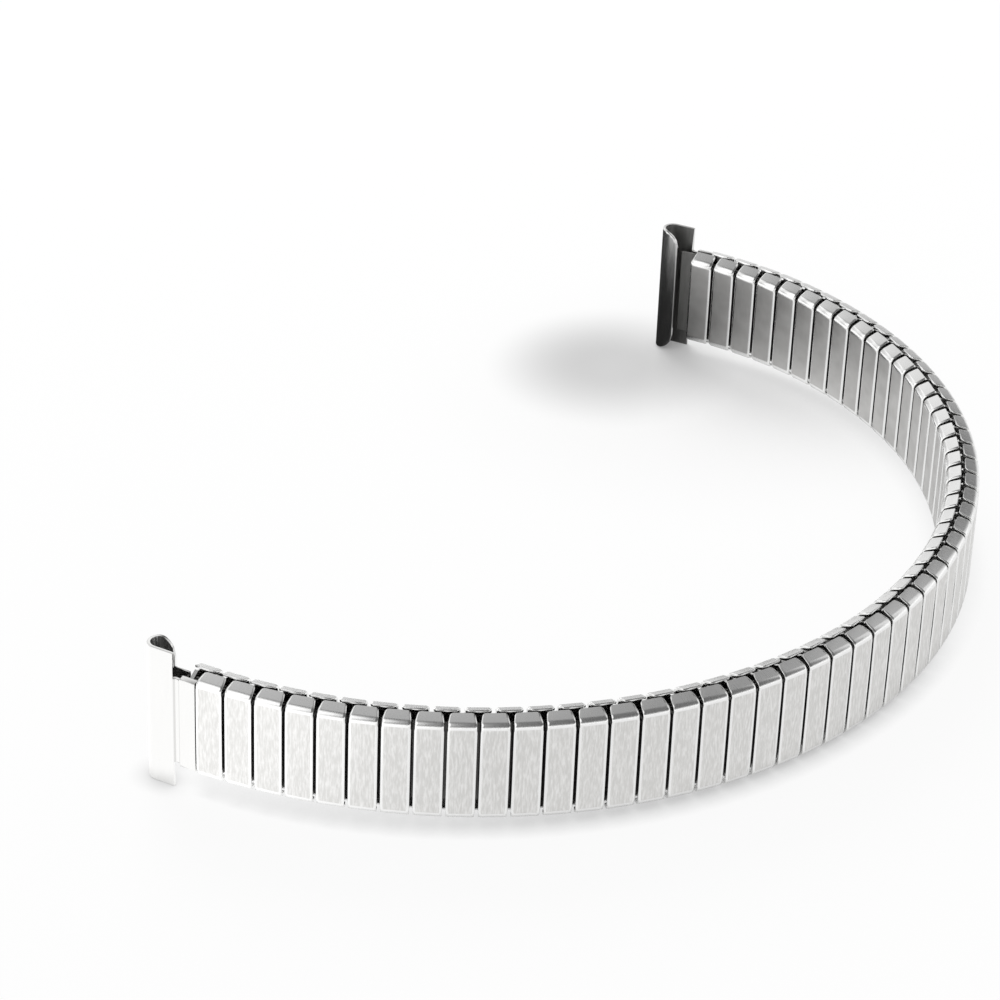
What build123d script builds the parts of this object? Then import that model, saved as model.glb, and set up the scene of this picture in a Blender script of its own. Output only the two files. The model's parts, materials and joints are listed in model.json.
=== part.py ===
"""Expansion watch band, standing on its edge in an open curl.

Two rows of flat sleeves lie back to back, half a pitch apart. U-shaped bows at both sides of the
band join each outer sleeve to the inner sleeves beside it, and a leaf spring in every sleeve
presses the bow legs flat. A rolled end piece at each end takes a watch's spring bar.

Each piece is drawn in a link frame: X along the band, Y across its width, Z out of the wrist.
Places along the band are counted in pitches from the middle of the first inner link.
"""
import os
from math import asin, atan2, cos, degrees, radians, sin

from build123d import *

os.makedirs("parts", exist_ok=True)

# Driving dimensions, in millimetres and degrees
pitch = 2.3
outer_count = 53
section_count = 8
band_width = 8.9
band_thickness = 2.7
row_gap = 0.2
outer_gap = 0.2
inner_gap = 0.26

# Sleeves of folded sheet, whose sides slope from the back down to the face
side_drop = 0.5
sheet = 0.18
back_sheet = 0.15

# Bows of flat wire
wire = 0.3
bow_side_play = 0.08
bow_wall_play = 0.07
bow_leg_length = 1.7
leg_place_share = 0.25

# Leaf springs
spring_thickness = 0.1
spring_width = 1.3
spring_back_play = 0.02
spring_end_play = 0.3

# End pieces
head_length = 11.7
head_face_length = 2.65
head_sheet = 0.25
bar_radius = 0.7
head_lip_length = 1.75
head_lip_corner = 1.45
neck_length = 0.4
neck_inset = 0.15
tongue_length = 1.3
tongue_lip = 0.3
tongue_tube_length = 2.4
tongue_back_length = 1.5

# Curl in which the band lies: its turn per pitch rises towards the far end
first_heading_degrees = -26.1
first_turn_degrees = 3.26
last_turn_degrees = 4.28
turn_rise_power = 6

# Travel of one bow crossing when the band is pulled
stretch_travel = 0.6

# Sizes that follow
outer_link_length = pitch - outer_gap
inner_link_length = pitch - inner_gap
half_width = band_width / 2
half_thickness = band_thickness / 2
face_under = half_thickness - sheet
back_bottom = row_gap / 2
back_top = back_bottom + back_sheet
bow_top = face_under - bow_wall_play
bow_under = bow_top - wire
leg_height = (bow_top + bow_under) / 2
leg_offset = pitch * leg_place_share
half_share = 0.5
inner_count = outer_count + 1
last_place = inner_count - 1
swing = degrees(asin(stretch_travel / (2 * leg_height)))

tongue_end = outer_link_length / 2
tongue_start = tongue_end - tongue_length
tongue_tube_start = tongue_end - tongue_tube_length
head_end = tongue_start - neck_length
roll_radius = bar_radius + head_sheet
bar_place = head_end - head_face_length + roll_radius
bar_height = half_thickness - roll_radius
lip_end = head_end - head_face_length + head_lip_length


def side_at(height):
    """Half a sleeve's width at a height above the line between the rows."""
    return half_width - side_drop * (height - back_bottom) / (half_thickness - back_bottom)


face_half = side_at(half_thickness)
web_outside = side_at(face_under) - sheet - bow_side_play
web_inside = web_outside - wire
tube_half = web_inside - bow_side_play


def folded_section(bottom):
    """Outline of a sheet whose two sides are folded down as far as a height, seen along the band."""
    return [
        (-side_at(bottom), bottom),
        (-face_half, half_thickness),
        (face_half, half_thickness),
        (side_at(bottom), bottom),
        (side_at(bottom) - sheet, bottom),
        (side_at(face_under) - sheet, face_under),
        (sheet - side_at(face_under), face_under),
        (sheet - side_at(bottom), bottom),
    ]


def heading(place):
    """Direction of the band's middle line, in degrees, at a place counted in pitches."""
    share = max(place, 0) / last_place
    rise = (last_turn_degrees - first_turn_degrees) * last_place * share ** (turn_rise_power + 1)
    return first_heading_degrees + first_turn_degrees * place + rise / (turn_rise_power + 1)


# The middle line, followed in quarter pitches from half a pitch before the first inner link
steps_per_pitch = 4
line = [Vector(0, 0)]
for step in range(inner_count * steps_per_pitch):
    turned = radians(heading((step + half_share) / steps_per_pitch - half_share))
    stride = pitch / steps_per_pitch
    line.append(line[-1] + Vector(cos(turned), sin(turned)) * stride)


def lying(place, u=0, v=0):
    """Link frame at a place, for the band lying square, u along the band and v out of the wrist."""
    turned = radians(heading(place))
    along = Vector(cos(turned), sin(turned))
    out = Vector(sin(turned), -cos(turned))
    spot = line[round((place + half_share) * steps_per_pitch)] + along * u + out * v
    return Plane(origin=(spot.X, spot.Y, half_width), x_dir=along, z_dir=out)


# The heads are wider than the links, so the band leans on both heads and on its belly
head_spots = [
    lying(-half_share, head_end, half_thickness).origin,
    lying(last_place + half_share, -head_end, half_thickness).origin,
]
chord = (head_spots[1] - head_spots[0]).normalized()
to_belly = Vector(chord.Y, -chord.X)
belly_reach = max(
    (lying(k - half_share, v=half_thickness).origin - head_spots[0]).dot(to_belly)
    for k in range(1, inner_count)
)
head_drop = (head_length - band_width) / 2
tilt = degrees(atan2(head_drop, belly_reach))
leaning = Location((0, 0, 0), (chord.X, chord.Y, 0), tilt)


def sleeve(length):
    """A strip of sheet wrapped into a flat tube, with its face folded down over both tube ends."""
    with BuildPart() as link:
        with BuildSketch(Plane.YZ):
            with BuildLine():
                Polyline(*folded_section(back_bottom), close=True)
            make_face()
        extrude(amount=length / 2, both=True)
        with BuildSketch(Plane.XZ):
            with Locations((0, (back_bottom + half_thickness) / 2)):
                Rectangle(length, half_thickness - back_bottom)
            with Locations((0, (back_top + face_under) / 2)):
                Rectangle(length - 2 * sheet, face_under - back_top, mode=Mode.SUBTRACT)
        extrude(amount=tube_half, both=True)
    return link.part


outer_link = sleeve(outer_link_length)
inner_link = sleeve(inner_link_length)

# Bow: a flat wire bent square, one leg for each row
with BuildPart() as bow_piece:
    with BuildSketch(Plane.YZ):
        leg_tip = web_inside - bow_leg_length
        with BuildLine():
            Polyline(
                (leg_tip, bow_top),
                (web_outside, bow_top),
                (web_outside, -bow_top),
                (leg_tip, -bow_top),
                (leg_tip, -bow_under),
                (web_inside, -bow_under),
                (web_inside, bow_under),
                (leg_tip, bow_under),
                close=True,
            )
        make_face()
    extrude(amount=wire / 2, both=True)

# Leaf spring: a strip that lies on the sleeve's back, under the four bow legs that it presses
with BuildPart() as spring_piece:
    with BuildSketch(Plane.XY.offset(back_top + spring_back_play)):
        Rectangle(spring_width, 2 * (tube_half - spring_end_play))
    extrude(amount=spring_thickness)

# End piece: a head rolled round the spring bar, a neck, and a tongue that holds the last bows
with BuildPart() as end_piece:
    with BuildSketch(Plane.XZ):
        with BuildLine():
            Line((head_end, half_thickness), (bar_place, half_thickness))
            ThreePointArc(
                (bar_place, half_thickness),
                (bar_place - roll_radius, bar_height),
                (bar_place, bar_height - roll_radius),
            )
            Polyline(
                (bar_place, bar_height - roll_radius),
                (lip_end, bar_height - roll_radius),
                (lip_end, bar_height - bar_radius),
                (bar_place, bar_height - bar_radius),
            )
            ThreePointArc(
                (bar_place, bar_height - bar_radius),
                (bar_place - bar_radius, bar_height),
                (bar_place, bar_height + bar_radius),
            )
            Polyline(
                (bar_place, bar_height + bar_radius),
                (head_end, bar_height + bar_radius),
                (head_end, half_thickness),
            )
        make_face()
    extrude(amount=head_length / 2, both=True)
    # the inner wall's two free corners are rounded off
    with BuildSketch(Plane.XY.offset(bar_height)):
        for side in (-1, 1):
            corner_u = lip_end - head_lip_corner
            corner_w = side * (head_length / 2 - head_lip_corner)
            with Locations((corner_u + head_lip_corner / 2, corner_w + side * head_lip_corner / 2)):
                Rectangle(head_lip_corner, head_lip_corner)
            with Locations((corner_u, corner_w)):
                Circle(head_lip_corner, mode=Mode.SUBTRACT)
    extrude(amount=-2 * roll_radius, mode=Mode.SUBTRACT)
    # neck and tongue sheet
    with BuildSketch(Plane.XY.offset(half_thickness - head_sheet)):
        neck_half = face_half - neck_inset
        with BuildLine():
            Polyline(
                (head_end, -neck_half),
                (tongue_start, -neck_half),
                (tongue_start + neck_inset, -face_half),
                (tongue_end, -face_half),
                (tongue_end, face_half),
                (tongue_start + neck_inset, face_half),
                (tongue_start, neck_half),
                (head_end, neck_half),
                close=True,
            )
        make_face()
    extrude(amount=head_sheet)
    # side lips of the tongue
    with BuildSketch(Plane.YZ.offset(tongue_end)):
        with BuildLine():
            Polyline(*folded_section(face_under - tongue_lip), close=True)
        make_face()
    extrude(amount=neck_inset - tongue_length)
    # the flat tube under tongue and neck, its back as wide as the tongue beside the head
    with BuildSketch(Plane.XZ):
        tube_middle = tongue_end - tongue_tube_length / 2
        with Locations((tube_middle, (back_bottom + half_thickness) / 2)):
            Rectangle(tongue_tube_length, half_thickness - back_bottom)
    extrude(amount=tube_half, both=True)
    with BuildSketch(Plane.XZ):
        with Locations((tube_middle, (back_top + face_under) / 2)):
            Rectangle(tongue_tube_length - 2 * sheet, face_under - back_top)
    extrude(amount=tube_half, both=True, mode=Mode.SUBTRACT)
    with BuildSketch(Plane.XY.offset(back_bottom)):
        with Locations((tongue_tube_start + tongue_back_length / 2, 0)):
            Rectangle(tongue_back_length, 2 * face_half)
    extrude(amount=back_sheet)

# Where everything goes
turned_inward = Rotation(0, 180, 0)
turned_round = Rotation(0, 0, 180)
outer_places = [k - half_share for k in range(1, inner_count)]
near_end = leaning * lying(-half_share).location
far_end = leaning * lying(last_place + half_share).location * turned_round
outline = Compound(
    [outer_link.moved(leaning * lying(place).location) for place in outer_places]
    + [end_piece.part.moved(near_end), end_piece.part.moved(far_end)]
).bounding_box()
home = Location((-outline.center().X, -outline.center().Y, -outline.min.Z))


def seat(place):
    """Link frame at a place, for the band as it stands."""
    return home * leaning * lying(place).location


def write(builder, name):
    """Label one node's solids and write them."""
    builder.part.label = name
    export_step(builder.part, f"parts/{name}.step")


def row(name, piece, places, *turns):
    """One node with a copy of a piece at each place, and at each turn there."""
    with BuildPart() as node:
        with Locations(*[seat(place) * turn for place in places for turn in turns]):
            add(piece)
    write(node, name)


# Seams are the outer links after which the band's sections part
seams = [round(outer_count * n / section_count) for n in range(1, section_count)]
firsts = [0] + seams
lasts = seams + [inner_count]
upright = Location()

for n, (first, last) in enumerate(zip(firsts, lasts), start=1):
    outers = range(first + 1, min(last, outer_count) + 1)
    inners = range(first + 1 if first else 0, last)
    crossings = range(2 * first + 1 if first else 0, 2 * last)
    row(f"outer_links_{n}", outer_link, [k - half_share for k in outers], upright)
    row(f"inner_links_{n}", inner_link, inners, turned_inward)
    row(
        f"bows_{n}",
        bow_piece.part,
        [(c - half_share) * half_share for c in crossings],
        upright,
        turned_round,
    )
    with BuildPart() as springs:
        with Locations(*[seat(k - half_share) for k in outers]):
            add(spring_piece.part)
        with Locations(*[seat(k) * turned_inward for k in inners]):
            add(spring_piece.part)
    write(springs, f"leaf_springs_{n}")

# Between two sections one inner link slides, and the pair of bows on its near side swings
for n, seam in enumerate(seams, start=1):
    row(f"sliding_link_{n}", inner_link, [seam], turned_inward)
    row(f"sliding_spring_{n}", spring_piece.part, [seam], turned_inward)
    row(f"swing_bows_{n}", bow_piece.part, [seam - half_share * half_share], upright, turned_round)

with BuildPart() as near_end_piece:
    with Locations(home * near_end):
        add(end_piece.part)
write(near_end_piece, "near_end_piece")

with BuildPart() as far_end_piece:
    with Locations(home * far_end):
        add(end_piece.part)
write(far_end_piece, "far_end_piece")

print(f"tilt {tilt:.2f} degrees, bow swing {swing:.2f} degrees, size {outline.size}")
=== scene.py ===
import json
from math import asin, cos, pi, radians, sin, sqrt, tan

import bmesh
import bpy
from mathutils import Matrix, Vector


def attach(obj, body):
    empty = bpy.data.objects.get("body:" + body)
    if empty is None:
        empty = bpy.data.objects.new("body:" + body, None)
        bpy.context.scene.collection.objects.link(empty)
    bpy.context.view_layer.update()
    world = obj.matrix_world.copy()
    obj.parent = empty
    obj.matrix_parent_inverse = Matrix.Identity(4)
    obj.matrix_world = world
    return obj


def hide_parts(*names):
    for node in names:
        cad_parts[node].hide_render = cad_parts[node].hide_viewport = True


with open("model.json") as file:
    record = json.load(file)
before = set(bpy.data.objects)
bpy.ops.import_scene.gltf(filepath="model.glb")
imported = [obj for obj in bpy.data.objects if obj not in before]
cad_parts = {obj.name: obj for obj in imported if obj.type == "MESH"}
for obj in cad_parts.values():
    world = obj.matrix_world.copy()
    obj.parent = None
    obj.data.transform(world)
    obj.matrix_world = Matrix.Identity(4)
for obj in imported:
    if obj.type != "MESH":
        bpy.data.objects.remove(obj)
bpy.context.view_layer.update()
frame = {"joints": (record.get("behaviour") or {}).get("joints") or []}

# Outer links: 53 flat sleeves of stainless sheet, the row that shows when the band is worn. Each
# face is a strip folded down over both ends of a flattened tube. It is fine-brushed across the
# band, and its folds are left bright.

# sizes in millimetres, in the link frame: X along the band, Y across it, Z out of the wrist
pitch = 2.3
outer_count = 53
half_width = 8.9 / 2
half_thickness = 2.7 / 2
side_drop = 0.5
sheet = 0.18
back_sheet = 0.15
row_gap = 0.2
back_bottom = row_gap / 2
back_top = back_bottom + back_sheet
face_under = half_thickness - sheet
outer_link_length = 2.15
outer_fold_radius = 0.55
outer_tab_slope = radians(18)
outer_shoulder = 0.2
outer_tab_width = 2.08
outer_tab_end_width = 1.86
outer_strip_drop = 0.03
outer_edge_round = 0.025
strip_width = 0.2
tab_corner = 0.18
tab_back_play = 0.08
tab_back = back_bottom + tab_back_play
fold_steps = 5
tube_inset = 0.03
tube_round = 0.1
bow_side_play = 0.08
wire = 0.3
bow_wall_play = 0.07
tab_fall = side_drop * (face_under - back_bottom) / (half_thickness - back_bottom)
web_outside = half_width - tab_fall - sheet - bow_side_play
tube_half = web_outside - wire - bow_side_play

# The curl is the heading of the middle line at a place, which is counted in pitches. Inner links
# lie at whole places, outer links half a pitch off, and the bows between them a quarter.
half_pitch = 0.5
quarter_pitch = 0.25
first_heading = -26.1
first_turn = 3.26
last_turn = 4.28
turn_rise_power = 6
steps_per_pitch = 4
inner_count = outer_count + 1
last_place = inner_count - 1


def heading(place):
    """Which way the middle line runs at a place. It curls more tightly towards the far end."""
    share = max(place, 0) / last_place
    rise = (last_turn - first_turn) * last_place * share ** (turn_rise_power + 1)
    return radians(first_heading + first_turn * place + rise / (turn_rise_power + 1))


middle_line = [Vector((0, 0, half_width))]
for step in range(inner_count * steps_per_pitch):
    turned = heading((step + 0.5) / steps_per_pitch - half_pitch)
    stride = Vector((cos(turned), sin(turned), 0)) * pitch / steps_per_pitch
    middle_line.append(middle_line[-1] + stride)


def lying(place):
    """Link frame at a place, for the band lying square."""
    turned = heading(place)
    along = Vector((cos(turned), sin(turned), 0))
    out = Vector((sin(turned), -cos(turned), 0))
    axes = Matrix((along, Vector((0, 0, 1)), out)).transposed().to_4x4()
    return Matrix.Translation(middle_line[round((place + half_pitch) * steps_per_pitch)]) @ axes


# The band stretches at the seams between its sections. The first seam's swinging bow tells how
# far the band leans and where it stands.
section_count = 8
seams = [round(outer_count * n / section_count) for n in range(1, section_count)]
sections = list(enumerate(zip([0] + seams, seams + [inner_count]), start=1))
metres_per_mm = 0.001
to_metres = Matrix.Scale(metres_per_mm, 4)
leg_height = face_under - bow_wall_play - wire / 2
first_swing = next(j for j in frame["joints"] if j["name"] == "bow_swing_1")
lean = Vector((0, 0, 1)).rotation_difference(-Vector(first_swing["axis"])).to_matrix().to_4x4()
leg_spot = Vector((0, 0, leg_height))
hinge_spot = lean @ to_metres @ lying(seams[0] - quarter_pitch) @ leg_spot
home = Matrix.Translation(Vector(first_swing["pos_m"]) - hinge_spot) @ lean @ to_metres


def seat(place):
    """Link frame at a place, for the band as it stands, from millimetres to metres."""
    return home @ lying(place)


def outer_seats(first, last):
    """Where the outer links of a section lie."""
    return [seat(k - half_pitch) for k in range(first + 1, min(last, outer_count) + 1)]


def edges_of(geom):
    return [g for g in geom if isinstance(g, bmesh.types.BMEdge)]


def verts_of(geom):
    return [g for g in geom if isinstance(g, bmesh.types.BMVert)]


def pull(bm, edges, by, widen=(1, 1, 1)):
    """Draws the sheet further from these edges, and scales the new end about the origin."""
    grown = bmesh.ops.extrude_edge_only(bm, edges=edges)["geom"]
    bmesh.ops.scale(bm, vec=widen, verts=verts_of(grown))
    bmesh.ops.translate(bm, vec=by, verts=verts_of(grown))
    return edges_of(grown)


def fold(bm, edges, centre, axis, angle, steps):
    """Bends the sheet on from these edges, round an axis."""
    rims = list({v for e in edges for v in e.verts})
    swept = bmesh.ops.spin(bm, geom=rims + edges, cent=centre, axis=axis, angle=angle, steps=steps)
    return edges_of(swept["geom_last"])


def soften(bm, parts, offset, segments, affect="EDGES"):
    """Rounds off edges, or with VERTICES the corners of a sheet."""
    bmesh.ops.bevel(
        bm, geom=parts, offset=offset, offset_type="OFFSET", segments=segments, profile=0.5,
        affect=affect, material=-1, clamp_overlap=True,
    )


def face_outwards(bm, inside):
    """Turns the skin so that its normals point away from a spot inside it."""
    bmesh.ops.recalc_face_normals(bm, faces=bm.faces[:])
    face = max(bm.faces, key=lambda f: f.calc_area())
    if face.normal.dot(face.calc_center_median() - Vector(inside)) < 0:
        bmesh.ops.reverse_faces(bm, faces=bm.faces[:])


# Places closer than this are the same. The other two tell, by its normal, whether a sheet faces a
# direction or only leans that way.
touching = 0.001
facing = 0.5
leaning = 0.05


def folded_face(
    length, fold_radius, tab_slope, shoulder, tab_width, tab_end_width, strip_drop, edge_round
):
    """A link's face: half is drawn from the middle to the tab's free end, then mirrored. Its long
    sides are bent down a little, and its tabs rise towards the other row."""
    bm = bmesh.new()
    flat = length / 2 - strip_width
    profile = [(-length / 2, strip_drop), (-flat, 0), (flat, 0), (length / 2, strip_drop)]
    line = [bm.verts.new((x, 0, half_thickness - drop)) for x, drop in profile]
    edges = [bm.edges.new(pair) for pair in zip(line, line[1:])]
    fold_end = half_thickness - fold_radius * (1 - sin(tab_slope))
    tab_rise = (fold_end - back_bottom) * tan(tab_slope)
    fold_start = half_width - tab_rise - fold_radius * cos(tab_slope)
    edges = pull(bm, edges, (0, fold_start - shoulder, 0))
    edges = pull(bm, edges, (0, shoulder, 0), (tab_width / length, 1, 1))
    fold_centre = (0, fold_start, half_thickness - fold_radius)
    edges = fold(bm, edges, fold_centre, (1, 0, 0), tab_slope - pi / 2, fold_steps)
    edges = pull(
        bm, edges, (0, (fold_end - tab_back) * tan(tab_slope), tab_back - fold_end),
        (tab_end_width / tab_width, 1, 1),
    )
    # the tab's free corners are cut back, and the cuts are rounded
    tab_flat = flat * tab_end_width / length
    free_end = list({v for e in edges for v in e.verts})
    corners = [v for v in free_end if abs(v.co.x) > tab_flat + touching]
    back = (0, -tab_corner * sin(tab_slope), tab_corner * cos(tab_slope))
    bmesh.ops.translate(bm, vec=back, verts=corners)
    soften(bm, free_end, tab_corner / 3, 1, "VERTICES")
    everything = bm.verts[:] + bm.edges[:] + bm.faces[:]
    bmesh.ops.mirror(bm, geom=everything, axis="Y", merge_dist=touching)
    face_outwards(bm, (0, 0, 0))
    rim = [e for e in bm.edges if e.is_boundary]
    bmesh.ops.solidify(bm, geom=bm.faces[:], thickness=sheet)
    soften(bm, rim, edge_round, 1)
    for face in bm.faces:
        face.material_index = 2 if abs(face.normal.x) > leaning else 0
    return bm


def channel(length, middle, top):
    """A tube's back and its two walls. It is open at both ends and under the face."""
    tube = bmesh.new()
    size = Matrix.Diagonal((length, 2 * tube_half, top - back_bottom, 1))
    place = Matrix.Translation((middle, 0, (top + back_bottom) / 2))
    bmesh.ops.create_cube(tube, size=1, matrix=place @ size)
    open_sides = [f for f in tube.faces if abs(f.normal.y) > facing or f.normal.z > facing]
    bmesh.ops.delete(tube, geom=open_sides, context="FACES")
    return tube


def sleeve(length, *face_sizes):
    """A whole link, as a mesh in millimetres: face, tabs and tube."""
    face = folded_face(length, *face_sizes)
    tube = channel(length - 2 * tube_inset, 0, half_thickness - sheet / 2)
    back_folds = [
        e for e in tube.edges
        if abs(e.verts[0].co.y - e.verts[1].co.y) > tube_half and e.verts[0].co.z < face_under
    ]
    soften(tube, back_folds, tube_round, 2)
    bmesh.ops.solidify(tube, geom=tube.faces[:], thickness=back_sheet)
    # the tube takes the raw steel, painted dark as shade in the gaps
    for part in tube.faces:
        part.material_index = 1
    return joined([face, tube])


def joined(parts):
    """One mesh from several drawn parts, with its sheet unrolled into a map in millimetres."""
    whole = bmesh.new()
    for part in parts:
        piece = bpy.data.meshes.new("part")
        part.to_mesh(piece)
        part.free()
        whole.from_mesh(piece)
        bpy.data.meshes.remove(piece)
    unrolled = whole.loops.layers.uv.new("unrolled")
    for face in whole.faces:
        face.smooth = True
        for loop in face.loops:
            spot = loop.vert.co
            side = -1 if spot.y < 0 else 1
            loop[unrolled].uv = (spot.x, spot.y + side * (half_thickness - spot.z))
    mesh = bpy.data.meshes.new("template")
    whole.to_mesh(mesh)
    whole.free()
    return mesh


# Folds over this angle stay crisp. A copy's number grows by these for each metre in X and in Y.
sharp_angle = radians(50)
number_per_metre = (1000, 777)


def set_out(name, template, seats, finishes, node, body):
    """One piece with a copy of a template at each seat. Copies carry a number, so that no two have
    the same brushing."""
    bm = bmesh.new()
    number = bm.verts.layers.float.new("copy_number")
    by_x, by_y = number_per_metre
    for count, matrix in enumerate(seats):
        old = set(bm.verts)
        bm.from_mesh(template)
        new = [v for v in bm.verts if v not in old]
        bmesh.ops.transform(bm, matrix=matrix, verts=new)
        for vert in new:
            vert[number] = matrix.translation.x * by_x + matrix.translation.y * by_y + count
    for edge in bm.edges:
        if edge.is_manifold and edge.calc_face_angle() > sharp_angle:
            edge.smooth = False
    mesh = bpy.data.meshes.new(name)
    bm.to_mesh(mesh)
    bm.free()
    for finish in finishes:
        mesh.materials.append(finish)
    piece = bpy.data.objects.new(name, mesh)
    bpy.context.scene.collection.objects.link(piece)
    weighted = piece.modifiers.new("even shading", "WEIGHTED_NORMAL")
    weighted.keep_sharp = True
    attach(piece, body)
    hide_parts(node)


class Signal:
    """An output in a material's node tree. Arithmetic on it adds Math nodes."""

    def __init__(self, tree, socket=None):
        self.tree = tree
        self.socket = socket

    def node(self, kind, settings, values, outlet=0):
        """Any other node: its settings are set first, then its values or links."""
        made = self.tree.nodes.new(kind)
        for name, value in settings.items():
            setattr(made, name, value)
        for name, value in values.items():
            if isinstance(value, Signal):
                self.tree.links.new(value.socket, made.inputs[name])
            else:
                made.inputs[name].default_value = value
        return Signal(self.tree, made.outputs[outlet])

    def maths(self, operation, first, second):
        return self.node("ShaderNodeMath", {"operation": operation}, {0: first, 1: second})

    def __add__(self, other):
        return self.maths("ADD", self, other)

    __radd__ = __add__

    def __sub__(self, other):
        return self.maths("SUBTRACT", self, other)

    def __rsub__(self, other):
        return self.maths("SUBTRACT", other, self)

    def __mul__(self, other):
        return self.maths("MULTIPLY", self, other)

    __rmul__ = __mul__

    def __abs__(self):
        return self.maths("ABSOLUTE", self, 0)

    def at_least(self, low):
        return self.maths("MAXIMUM", self, low)

    def part(self, axis):
        """One coordinate of a place."""
        return self.node("ShaderNodeSeparateXYZ", {}, {0: self}, axis)

    def between(self, low, high):
        """0 below low, 1 above high, smooth between."""
        return self.node(
            "ShaderNodeMapRange", {"interpolation_type": "SMOOTHSTEP"},
            {"Value": self, "From Min": low, "From Max": high}, "Result",
        )

    def blend(self, first, second):
        """The first colour where this is 0, the second where it is 1."""
        return self.node(
            "ShaderNodeMix", {"data_type": "RGBA"}, {"Factor": self, 6: first, 7: second}, 2
        )


def steel(name):
    """A bare metal, its sockets and the start of its node tree."""
    material = bpy.data.materials.new(name)
    material.use_nodes = True
    inputs = material.node_tree.nodes["Principled BSDF"].inputs
    inputs["Metallic"].default_value = 1
    return material, inputs, Signal(material.node_tree)


def unrolled_place(start):
    """Where a point lies on the flat sheet, in millimetres, and the number of its copy."""
    spot = start.node("ShaderNodeUVMap", {"uv_map": "unrolled"}, {})
    number = start.node(
        "ShaderNodeAttribute", {"attribute_type": "GEOMETRY", "attribute_name": "copy_number"}, {},
        "Fac",
    )
    return spot.part("X"), spot.part("Y"), number


# how far apart in the grain two copies lie, for each 1 between their numbers
copy_step = 3.7


def brushing(start, along, across, number, lines_per_mm, line_length):
    """Grain of brushed sheet: fine lines across the band, broken where the abrasive lifted."""
    spot = start.node(
        "ShaderNodeCombineXYZ", {},
        {"X": along * lines_per_mm, "Y": across * (1 / line_length), "Z": number * copy_step},
    )
    return start.node(
        "ShaderNodeTexNoise", {}, {"Vector": spot, "Scale": 1, "Detail": 3, "Roughness": 0.6},
        "Fac",
    )


def clouding(start, along, across, number):
    """Faint patches, where the sheet was handled and wiped."""
    spot = start.node("ShaderNodeCombineXYZ", {}, {"X": along, "Y": across, "Z": number})
    return start.node("ShaderNodeTexNoise", {}, {"Vector": spot, "Scale": 0.5, "Detail": 2}, "Fac")


# in metres, as the band stands
relief_depth = 0.00002


def dress(inputs, start, tint, roughness, height, bump):
    """Colour, roughness and the height of a fine relief."""
    start.tree.links.new(tint.socket, inputs["Base Color"])
    start.tree.links.new(roughness.socket, inputs["Roughness"])
    relief = start.node(
        "ShaderNodeBump", {}, {"Strength": bump, "Distance": relief_depth, "Height": height},
        "Normal",
    )
    start.tree.links.new(relief.socket, inputs["Normal"])


def grained_steel(
    name, dark, light, smooth, rough, lines_per_mm, line_length, bump, lengthwise=False
):
    """A steel whose grain varies between two tones and two roughnesses."""
    material, inputs, start = steel(name)
    along, across, number = unrolled_place(start)
    if lengthwise:
        along, across = across, along
    grain = brushing(start, along, across, number, lines_per_mm, line_length)
    dress(inputs, start, grain.blend(dark, light), smooth + grain * (rough - smooth), grain, bump)
    return material


# the brushed field ends just before the fold, and the fold and the tab are smoother
outer_brushed = (0.9, 0.895, 0.885, 1)
outer_streak = (0.72, 0.715, 0.7, 1)
outer_bright = (0.95, 0.95, 0.945, 1)
outer_field_half = 3.6
field_fade = 0.1
streak_contrast = (0.35, 0.75)
outer_roughness = 0.32
outer_grain_roughness = 0.16
cloud_roughness = 0.06
fold_smoothness = 0.14
outer_steel, outer_inputs, start = steel("outer_link_steel_brushed")
along, across, number = unrolled_place(start)
grain = brushing(start, along, across, number, lines_per_mm=7, line_length=0.8)
clouds = clouding(start, along, across, number)
bright = abs(across).between(outer_field_half, outer_field_half + field_fade)
brushed = grain.between(*streak_contrast).blend(outer_streak, outer_brushed)
polish = outer_roughness + grain * outer_grain_roughness - bright * fold_smoothness
dress(
    outer_inputs, start, tint=bright.blend(brushed, outer_bright),
    roughness=polish + clouds * cloud_roughness, height=grain * (1 - bright), bump=0.35,
)
side_steel = grained_steel(
    "link_side_steel_bright", dark=(0.88, 0.88, 0.87, 1), light=(0.96, 0.96, 0.955, 1),
    smooth=0.18, rough=0.28, lines_per_mm=5, line_length=1.5, bump=0.1,
)
# painted shade: the raw tube steel is far darker than bare steel, so that the tubes in the gaps
# and the end pieces' undersides look shaded
raw_steel_and_shade = grained_steel(
    "raw_tube_steel_and_shade", dark=(0.18, 0.18, 0.175, 1), light=(0.32, 0.318, 0.31, 1),
    smooth=0.45, rough=0.6, lines_per_mm=4, line_length=2.5, bump=0.2,
)

outer_template = sleeve(
    outer_link_length, outer_fold_radius, outer_tab_slope, outer_shoulder, outer_tab_width,
    outer_tab_end_width, outer_strip_drop, outer_edge_round,
)
outer_finishes = [outer_steel, raw_steel_and_shade, side_steel]
for n, (first, last) in sections:
    set_out(
        f"outer_sleeves_{n}", outer_template, outer_seats(first, last), outer_finishes,
        f"outer_links_{n}", f"section_{n}",
    )

# Inner links: 54 sleeves like the outer ones, half a pitch along and facing the wrist.
# Their faces are satin, with wide soft rounding on all edges, so that no hair is caught.
inner_link_length = 2.04
inner_fold_radius = 0.6
inner_tab_slope = radians(22)
inner_shoulder = 0.15
inner_tab_width = 1.98
inner_tab_end_width = 1.92
inner_strip_drop = 0.09
inner_edge_round = 0.04
turned_inward = Matrix.Rotation(pi, 4, "Y")

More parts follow.
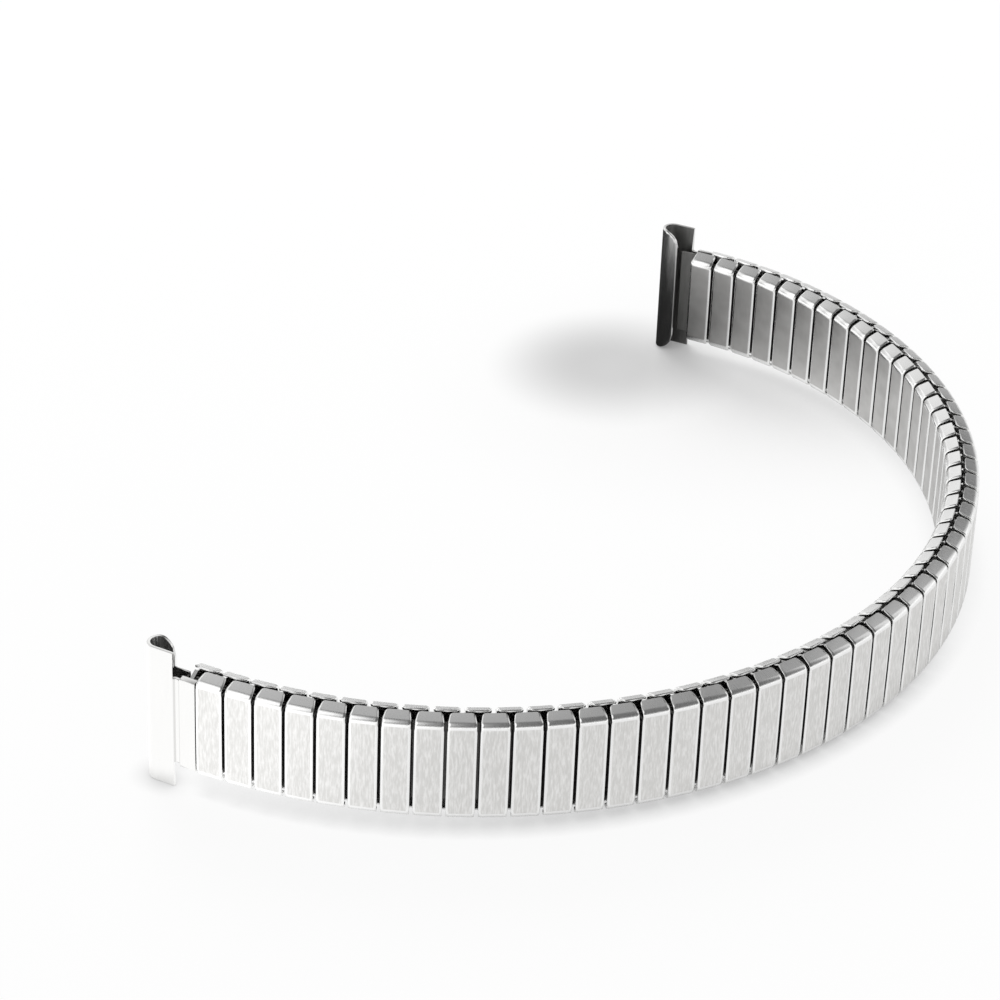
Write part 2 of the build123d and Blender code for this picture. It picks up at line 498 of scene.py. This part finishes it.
inner_satin = (0.62, 0.615, 0.605, 1)
inner_streak = (0.52, 0.515, 0.505, 1)
inner_bright = (0.92, 0.92, 0.915, 1)
# the grey of the inner tabs is painted shade
inner_tab_painted_shade = (0.6, 0.6, 0.595, 1)
inner_field_half = 3.48
inner_fold_end = 4.3
cloud_contrast = (0.3, 0.7)
tab_painted_shade = 0.5
inner_roughness = 0.34
inner_grain_roughness = 0.12
inner_steel, inner_inputs, start = steel("inner_link_steel_satin")
along, across, number = unrolled_place(start)
grain = brushing(start, along, across, number, lines_per_mm=6, line_length=0.5)
clouds = clouding(start, along, across, number)
bright = abs(across).between(inner_field_half, inner_field_half + field_fade)
# painted shade: the tabs, tucked in between the outer links, are darkened halfway towards a grey
# tone
bright_fold_shaded_tab = bright - abs(across).between(inner_fold_end, half_width) * tab_painted_shade
satin = clouds.between(*cloud_contrast).blend(inner_streak, inner_satin)
dress(
    inner_inputs, start, tint=bright.blend(satin, bright_fold_shaded_tab.blend(inner_tab_painted_shade, inner_bright)),
    roughness=inner_roughness + grain * inner_grain_roughness - bright * fold_smoothness,
    height=grain * (1 - bright), bump=0.25,
)


def inner_seats(first, last):
    """Where the inner links of a section lie, but for the one that slides at its seam."""
    return [seat(k) @ turned_inward for k in range(first + 1 if first else 0, last)]


inner_template = sleeve(
    inner_link_length, inner_fold_radius, inner_tab_slope, inner_shoulder, inner_tab_width,
    inner_tab_end_width, inner_strip_drop, inner_edge_round,
)
inner_finishes = [inner_steel, raw_steel_and_shade, side_steel]
for n, (first, last) in sections:
    set_out(
        f"inner_sleeves_{n}", inner_template, inner_seats(first, last), inner_finishes,
        f"inner_links_{n}", f"section_{n}",
    )
for n, seam in enumerate(seams, start=1):
    set_out(
        f"sliding_sleeve_{n}", inner_template, [seat(seam) @ turned_inward], inner_finishes,
        f"sliding_link_{n}", f"slider_{n}",
    )

# Bows: 216 staples of flat-sided wire, bent at right angles, two for each crossing of the rows.
# One leg lies in an outer tube and one in an inner tube, and the bright web between them shows in
# the gaps.
bow_leg_length = 1.7
bow_bend = 0.1
bend_steps = 2
bow_bulge = 0.38
bow_top = face_under - bow_wall_play
turned_round = Matrix.Rotation(pi, 4, "Z")


def faces_of(geom):
    return [g for g in geom if isinstance(g, bmesh.types.BMFace)]


def bow():
    """A bow as a mesh: its square section is drawn along the legs and bends."""
    bm = bmesh.new()
    inside = web_outside - wire
    tip = inside - bow_leg_length
    upright_section = Matrix.Rotation(pi / 2, 4, "X")
    middle = Matrix.Translation((0, tip, bow_top - wire / 2))
    bmesh.ops.create_grid(
        bm, x_segments=1, y_segments=1, size=wire / 2, matrix=middle @ upright_section
    )
    section = bm.faces[:]
    half_web = bow_top - wire - bow_bend
    strokes = [
        (0, inside - bow_bend - tip, 0), (0, bow_bulge, -half_web), (0, -bow_bulge, -half_web),
        (0, tip - inside + bow_bend, 0),
    ]
    bend_heights = {0: half_web, 2: -half_web}
    for count, stroke in enumerate(strokes):
        grown = bmesh.ops.extrude_face_region(bm, geom=section)["geom"]
        bmesh.ops.translate(bm, vec=stroke, verts=verts_of(grown))
        section = faces_of(grown)
        if count in bend_heights:
            rims = list({v for f in section for v in f.verts})
            around = list({e for f in section for e in f.edges})
            swept = bmesh.ops.spin(
                bm, geom=rims + around + section,
                cent=(0, inside - bow_bend, bend_heights[count]), axis=(1, 0, 0), angle=-pi / 2,
                steps=bend_steps,
            )
            section = faces_of(swept["geom_last"])
    # sections left inside the wire are taken out
    buried = [
        f for f in bm.faces
        if len(f.edges) == 4 and all(len(e.link_faces) > 2 for e in f.edges)
    ]
    bmesh.ops.delete(bm, geom=buried, context="FACES_ONLY")
    bmesh.ops.remove_doubles(bm, verts=bm.verts[:], dist=touching)
    bmesh.ops.recalc_face_normals(bm, faces=bm.faces[:])
    return joined([bm])


bow_steel = grained_steel(
    "bow_wire_bright", dark=(0.8, 0.8, 0.79, 1), light=(0.9, 0.9, 0.895, 1),
    smooth=0.18, rough=0.3, lines_per_mm=5, line_length=1.2, bump=0.15, lengthwise=True,
)


def bow_seats(crossings):
    """Where the two bows of each crossing lie. Crossings are counted in half pitches."""
    places = [crossing / 2 - quarter_pitch for crossing in crossings]
    return [seat(place) @ turn for place in places for turn in (Matrix(), turned_round)]


bow_template = bow()
for n, (first, last) in sections:
    set_out(
        f"wire_bows_{n}", bow_template, bow_seats(range(2 * first + 1 if first else 0, 2 * last)),
        [bow_steel], f"bows_{n}", f"section_{n}",
    )
for n, seam in enumerate(seams, start=1):
    set_out(
        f"swinging_bows_{n}", bow_template, bow_seats([2 * seam]),
        [bow_steel], f"swing_bows_{n}", f"bow_pair_{n}",
    )

# Leaf springs: a bowed strip of thin spring steel in every tube. Its middle bears on the tube's
# back and its ends press the four bow legs flat, which pulls the band closed.
spring_thickness = 0.1
spring_width = 1.3
spring_end_play = 0.3
spring_foot_play = 0.02
spring_rise = 0.16
spring_foot = back_top + spring_foot_play
spring_half = tube_half - spring_end_play
spring_steps = 8


def leaf_spring():
    """A leaf spring as a mesh: one end of the strip is swept along its bow."""
    bm = bmesh.new()
    radius = (spring_half**2 + spring_rise**2) / (2 * spring_rise)
    reach = asin(spring_half / radius)
    tip = spring_foot + spring_rise
    ends = [bm.verts.new((x, -spring_half, tip)) for x in (-spring_width / 2, spring_width / 2)]
    edge = [bm.edges.new(ends)]
    fold(bm, edge, (0, 0, spring_foot + radius), (1, 0, 0), 2 * reach, spring_steps)
    face_outwards(bm, (0, 0, radius))
    bmesh.ops.solidify(bm, geom=bm.faces[:], thickness=spring_thickness)
    return joined([bm])


spring_steel = grained_steel(
    "spring_strip_steel", dark=(0.48, 0.48, 0.47, 1), light=(0.62, 0.615, 0.6, 1),
    smooth=0.3, rough=0.45, lines_per_mm=5, line_length=3, bump=0.2,
)
spring_template = leaf_spring()
for n, (first, last) in sections:
    set_out(
        f"spring_strips_{n}", spring_template, outer_seats(first, last) + inner_seats(first, last),
        [spring_steel], f"leaf_springs_{n}", f"section_{n}",
    )
for n, seam in enumerate(seams, start=1):
    set_out(
        f"sliding_strip_{n}", spring_template, [seat(seam) @ turned_inward],
        [spring_steel], f"sliding_spring_{n}", f"slider_{n}",
    )

# End pieces: one stamping of polished sheet at each end. Its head is rolled round the spring bar
# and comes back as a short inner wall; a neck joins it to a tongue, whose own flat tube takes the
# last bows.
head_length = 11.7
head_face_length = 2.65
head_sheet = 0.25
bar_radius = 0.7
head_lip_length = 1.75
head_lip_corner = 1.45
neck_length = 0.4
neck_step = 0.12
neck_inset = 0.15
tongue_length = 1.3
tongue_half = 3.84
tongue_lip = 0.3
tongue_lip_spread = 0.12
tongue_reach = 0.16
tongue_tube_length = 2.4
tongue_back_length = 1.5
tongue_back_half = half_width - side_drop
tongue_back_round = 0.04
neck_half = tongue_half - neck_inset
roll_radius = bar_radius + head_sheet
tongue_end = outer_link_length / 2
tongue_start = tongue_end - tongue_length
head_end = tongue_start - neck_length
bar_place = head_end - head_face_length + roll_radius
bar_height = half_thickness - roll_radius
lip_end = head_end - head_face_length + head_lip_length
roll_steps = 20
lip_steps = 5
end_edge_round = 0.05

# lines beside the neck's and the tongue's sides, and on to the head's rims
shading_cuts = (3.6, 3.76, 4.35, 4.9, 5.3, 5.6, 5.78)


def stamped_end():
    """An end piece, drawn both ways from the line where the head meets the neck."""
    bm = bmesh.new()
    widths = (-head_length / 2, -neck_half, neck_half, head_length / 2)
    line = [bm.verts.new((head_end, y, half_thickness)) for y in widths]
    root = [bm.edges.new(pair) for pair in zip(line, line[1:])]
    edge = pull(bm, root, (bar_place - head_end, 0, 0))
    bar = (bar_place, 0, bar_height)
    edge = fold(bm, edge, bar, (0, 1, 0), -pi, roll_steps)
    for _ in range(lip_steps):
        edge = pull(bm, edge, ((lip_end - bar_place) / lip_steps, 0, 0))
    # the inner wall's two free corners are rounded off
    for vert in bm.verts:
        if vert.co.z < bar_height and abs(vert.co.y) > head_length / 2 - touching:
            left = head_lip_corner - max(lip_end - vert.co.x, 0)
            if left > 0:
                inset = head_lip_corner - sqrt(head_lip_corner**2 - left**2)
                vert.co.y -= inset if vert.co.y > 0 else -inset
    edge = pull(bm, [root[1]], (neck_step, 0, -neck_step))
    edge = pull(bm, edge, (neck_length - neck_step, 0, 0))
    edge = pull(bm, edge, (neck_inset, 0, neck_step), (1, tongue_half / neck_half, 1))
    pull(bm, edge, (tongue_length - neck_inset + tongue_reach, 0, 0))
    flat_sides = [
        e for e in bm.edges
        if e.is_boundary and all(abs(abs(v.co.y) - tongue_half) < touching for v in e.verts)
        and all(v.co.x > tongue_start for v in e.verts)
    ]
    spread = (1, 1 + tongue_lip_spread / tongue_half, 1)
    pull(bm, flat_sides, (0, 0, -tongue_lip - sheet), spread)
    face_outwards(bm, bar)
    side_folds = [e for e in flat_sides if e.is_valid]
    rim = [e for e in bm.edges if e.is_boundary]
    bmesh.ops.solidify(bm, geom=bm.faces[:], thickness=head_sheet)
    soften(bm, rim + side_folds, end_edge_round, 2)
    # cuts close to the rims keep the flats flat in their shading
    for cut in shading_cuts:
        for y in (-cut, cut):
            everything = bm.verts[:] + bm.edges[:] + bm.faces[:]
            bmesh.ops.bisect_plane(bm, geom=everything, plane_co=(0, y, 0), plane_no=(0, 1, 0))
    # painted shade: the sheet's undersides take the dark raw steel
    for face in bm.faces:
        under = face.normal.z < -facing and face.calc_center_median().z > 0
        face.material_index = 1 if under else 0
    tube = channel(
        tongue_length, tongue_end - tongue_length / 2, half_thickness - sheet - neck_step
    )
    bmesh.ops.solidify(tube, geom=tube.faces[:], thickness=back_sheet)
    # the tube's back is as wide as the tongue beside the head
    wide_back = bmesh.new()
    size = Matrix.Diagonal((tongue_back_length, 2 * tongue_back_half, back_sheet, 1))
    middle = Matrix.Translation(
        (tongue_end - tongue_tube_length + tongue_back_length / 2, 0, back_bottom + back_sheet / 2)
    )
    bmesh.ops.create_cube(wide_back, size=1, matrix=middle @ size)
    soften(wide_back, wide_back.edges[:], tongue_back_round, 1)
    # painted shade: the tongue's tube and the underside of its wide back take the dark raw steel
    for part in tube.faces[:] + [f for f in wide_back.faces if f.normal.z < -facing]:
        part.material_index = 1
    return joined([bm, tube, wide_back])


# painted shade: the two bends of the neck are darker than the flats, as they catch less light
end_dark = (0.74, 0.738, 0.73, 1)
end_light = (0.8, 0.798, 0.79, 1)
end_crease_painted_shade = (0.6, 0.598, 0.59, 1)
crease_core = 0.03
crease_reach = 0.1
tongue_crease_shade = 0.6
end_roughness = 0.14
end_grain_roughness = 0.12
end_steel, end_inputs, start = steel("end_piece_polished")
along, across, number = unrolled_place(start)
grain = brushing(start, along, across, number, lines_per_mm=3, line_length=3)
head_bend, tongue_bend = (
    1 - abs(along - place).between(crease_core, crease_reach)
    for place in (head_end + neck_step / 2, tongue_start + neck_inset / 2)
)
on_neck = 1 - abs(across).between(tongue_half - crease_reach, tongue_half)
crease_shade = (head_bend + tongue_bend * tongue_crease_shade) * on_neck
dress(
    end_inputs, start, tint=crease_shade.blend(grain.blend(end_dark, end_light), end_crease_painted_shade),
    roughness=end_roughness + grain * end_grain_roughness, height=grain, bump=0.1,
)

end_template = stamped_end()
end_finishes = [end_steel, raw_steel_and_shade]
set_out(
    "near_stamped_end", end_template, [seat(-half_pitch)], end_finishes,
    "near_end_piece", "section_1",
)
set_out(
    "far_stamped_end", end_template, [seat(last_place + half_pitch) @ turned_round], end_finishes,
    "far_end_piece", f"section_{section_count}",
)

# Studio: a white floor that keeps a soft shadow, a white room in which bright metal mirrors a
# grey ceiling, and one large soft lamp behind. In metal the floor shows painted light and shade:
# brightest at the left and dark beside the far end, which gives the steel its tones.
floor_half = 1.5
floor_colour = (0.95, 0.95, 0.95, 1)
floor_glow = 0.9
shadow_glow = 0.35
painted_shadow_tone = 0.2
mirrored_white = 0.9
left_painted_light = 0.42
faces_shade_tone = 0.42
head_shade_tone = 0.05
contact_reach = 0.0018
contact_tone = 0.3
contact_shade = 0.15
front_contact_shade = 0.4

# Where the floor's left and its front fade out, in metres. Then spots on it: where the glow gives
# way to the lamp's shadow, a painted shadow, and painted shade in metal beside the far faces and
# the head. For each, its place from the far end, and the two distances between which it fades.
left_fade = (-0.034, -0.006)
front_fade = (-0.022, -0.008)
shadow_spot = ((-0.002, -0.006), 0.004, 0.028)
painted_shadow_spot = ((-0.007, -0.003), 0.002, 0.012)
faces_shade_spot = ((-0.009, -0.005), 0.006, 0.018)
head_shade_spot = ((-0.022, 0.006), 0.0195, 0.0245)

bm = bmesh.new()
bmesh.ops.create_grid(bm, x_segments=1, y_segments=1, size=floor_half)
floor_mesh = bpy.data.meshes.new("floor")
bm.to_mesh(floor_mesh)
bm.free()
floor = bpy.data.objects.new("floor", floor_mesh)
bpy.context.scene.collection.objects.link(floor)
paper = bpy.data.materials.new("white_paper")
paper.use_nodes = True
nodes = paper.node_tree.nodes
start = Signal(paper.node_tree)
far_spot = seat(last_place + half_pitch).translation
floor_spot = start.node("ShaderNodeTexCoord", {}, {}, "Object")


def light_path(start):
    """Whether the camera sees this, and whether metal mirrors it."""
    rays = ("Is Camera Ray", "Is Glossy Ray")
    return (start.node("ShaderNodeLightPath", {}, {}, ray) for ray in rays)


def off_spot(place, near, far):
    """0 at a spot on the floor, 1 further off."""
    centre = (far_spot.x + place[0], far_spot.y + place[1], 0)
    distance = start.node(
        "ShaderNodeVectorMath", {"operation": "DISTANCE"}, {0: floor_spot, 1: centre}, "Value"
    )
    return distance.between(near, far)


def from_least(least, share):
    """From the least value up to 1."""
    return least + share * (1 - least)


# The camera sees a glow that leaves only a soft shadow near the far end, with a painted shadow
# there and a painted contact shade along the band. Metal mirrors the glow alone, with painted
# light at the left and painted shade beside the far faces and the head.
seen, in_metal = light_path(start)
glow_share = seen * (shadow_glow + off_spot(*shadow_spot) * (floor_glow - shadow_glow))
leftness = 1 - floor_spot.part("X").between(*left_fade)
frontness = 1 - floor_spot.part("Y").between(*front_fade)
contact = start.node(
    "ShaderNodeAmbientOcclusion", {"samples": 4}, {"Distance": contact_reach}, "AO"
)
# painted shade in metal beside the far faces and the head, and painted light at the left
beside_faces = from_least(faces_shade_tone, off_spot(*faces_shade_spot))
beside_head = from_least(head_shade_tone, off_spot(*head_shade_spot))
mirrored_floor = (mirrored_white + leftness * left_painted_light) * beside_faces * beside_head
# painted shadow beside the far end and painted contact shade along the band, in the glow that the
# camera sees
seen_floor = from_least(painted_shadow_tone, off_spot(*painted_shadow_spot)) * (
    1 - (1 - contact) * (contact_shade + frontness * front_contact_shade)
)
lit = in_metal * mirrored_floor * from_least(contact_tone, contact) + (1 - in_metal) * seen_floor
matt = nodes.new("ShaderNodeBsdfDiffuse")
matt.inputs["Color"].default_value = floor_colour
glow = nodes.new("ShaderNodeEmission")
paper.node_tree.links.new(lit.socket, glow.inputs["Color"])
mixed = start.node(
    "ShaderNodeMixShader", {},
    {
        0: glow_share + in_metal,
        1: Signal(paper.node_tree, matt.outputs[0]),
        2: Signal(paper.node_tree, glow.outputs[0]),
    },
)
paper.node_tree.links.new(mixed.socket, nodes["Material Output"].inputs["Surface"])
floor_mesh.materials.append(paper)

# The room in metal: white at the horizon, and a grey ceiling with lighter and darker fields. A
# field has a direction, how near to it the field starts and is full, and a strength.
horizon_tone = 1.25
horizon_fade = (0.12, 0.35)
ceiling_tone = 0.45
least_ceiling = 0.13
room_light = 0.72
ceiling_fields = (
    ((-0.38, 0.83, 0.4), 0.75, 1, 0.58),
    ((1, 0, 0), 0.1, 0.35, -0.24),
    ((0, -1, 0), -0.3, 0, -0.28),
    ((0.75, 0.4, 0.5), 0.85, 0.97, 0.6),
    ((-0.75, 0.4, 0.5), 0.85, 0.97, 0.6),
    ((-0.6, -0.45, 0.66), 0.8, 0.95, 1.1),
    ((0, 0.855, 0.518), 0.96, 1, 0.4),
)
dark_fields = (
    ((0.35, 0.9, 0.25), 0.82, 0.97, 0.55),
    ((-0.48, 0.86, 0.1), 0.955, 0.985, 0.45),
    ((-0.7, 0.62, 0.35), 0.93, 0.975, 0.45),
)
room = bpy.data.worlds.new("room")
room.use_nodes = True
bpy.context.scene.world = room
start = Signal(room.node_tree)
direction = start.node("ShaderNodeTexCoord", {}, {}, "Generated")


def towards(axis, low, high):
    """1 in the directions near an axis, 0 further off."""
    nearness = start.node(
        "ShaderNodeVectorMath", {"operation": "DOT_PRODUCT"}, {0: direction, 1: axis}, "Value"
    )
    return nearness.between(low, high)


ceiling = ceiling_tone
for axis, low, high, strength in ceiling_fields:
    ceiling = ceiling + towards(axis, low, high) * strength
upwards = towards((0, 0, 1), *horizon_fade)
mirrored = horizon_tone + upwards * (ceiling.at_least(least_ceiling) - horizon_tone)
for axis, low, high, strength in dark_fields:
    mirrored = mirrored * (1 - towards(axis, low, high) * strength)
seen, in_metal = light_path(start)
shade = in_metal * mirrored + (1 - in_metal) * from_least(room_light, seen)
room.node_tree.links.new(shade.socket, room.node_tree.nodes["Background"].inputs["Color"])

lamp_size = 0.35
lamp_power = 1.4
lamp_place = Vector((-0.12, 0.42, 0.3))
lamp_data = bpy.data.lights.new("soft_lamp", "AREA")
lamp_data.shape = "DISK"
lamp_data.size = lamp_size
lamp_data.energy = lamp_power
lamp = bpy.data.objects.new("soft_lamp", lamp_data)
bpy.context.scene.collection.objects.link(lamp)
lamp.location = lamp_place
lamp.visible_glossy = False
lamp.rotation_euler = (-lamp_place).to_track_quat("-Z", "Y").to_euler()

# Camera: it stands at the photograph's viewing angle. Its place, tilt and lens are set from the
# pitch of the links along the curl, in the frame of the band lying square.
camera_from_first_link = Vector((20.98, -217.38, 0))
camera_height = 155.82
camera_dip = radians(31.208)
camera_roll = radians(2.224)
focal_share = 3.6201
nearest_shown = 0.01
camera_data = bpy.data.cameras.new("camera")
camera_data.sensor_width = 36
camera_data.lens = camera_data.sensor_width * focal_share
camera_data.clip_start = nearest_shown
camera = bpy.data.objects.new("camera", camera_data)
bpy.context.scene.collection.objects.link(camera)
first_link = lying(0).translation
spot = Vector((first_link.x, first_link.y, 0)) + camera_from_first_link
spot.z = camera_height
looking = Matrix.Rotation(pi / 2 - camera_dip, 4, "X") @ Matrix.Rotation(camera_roll, 4, "Z")
standing = home @ Matrix.Translation(spot) @ looking
camera.matrix_world = Matrix.LocRotScale(standing.translation, standing.to_quaternion(), None)
bpy.context.scene.camera = camera
bpy.context.scene.view_settings.view_transform = "Standard"
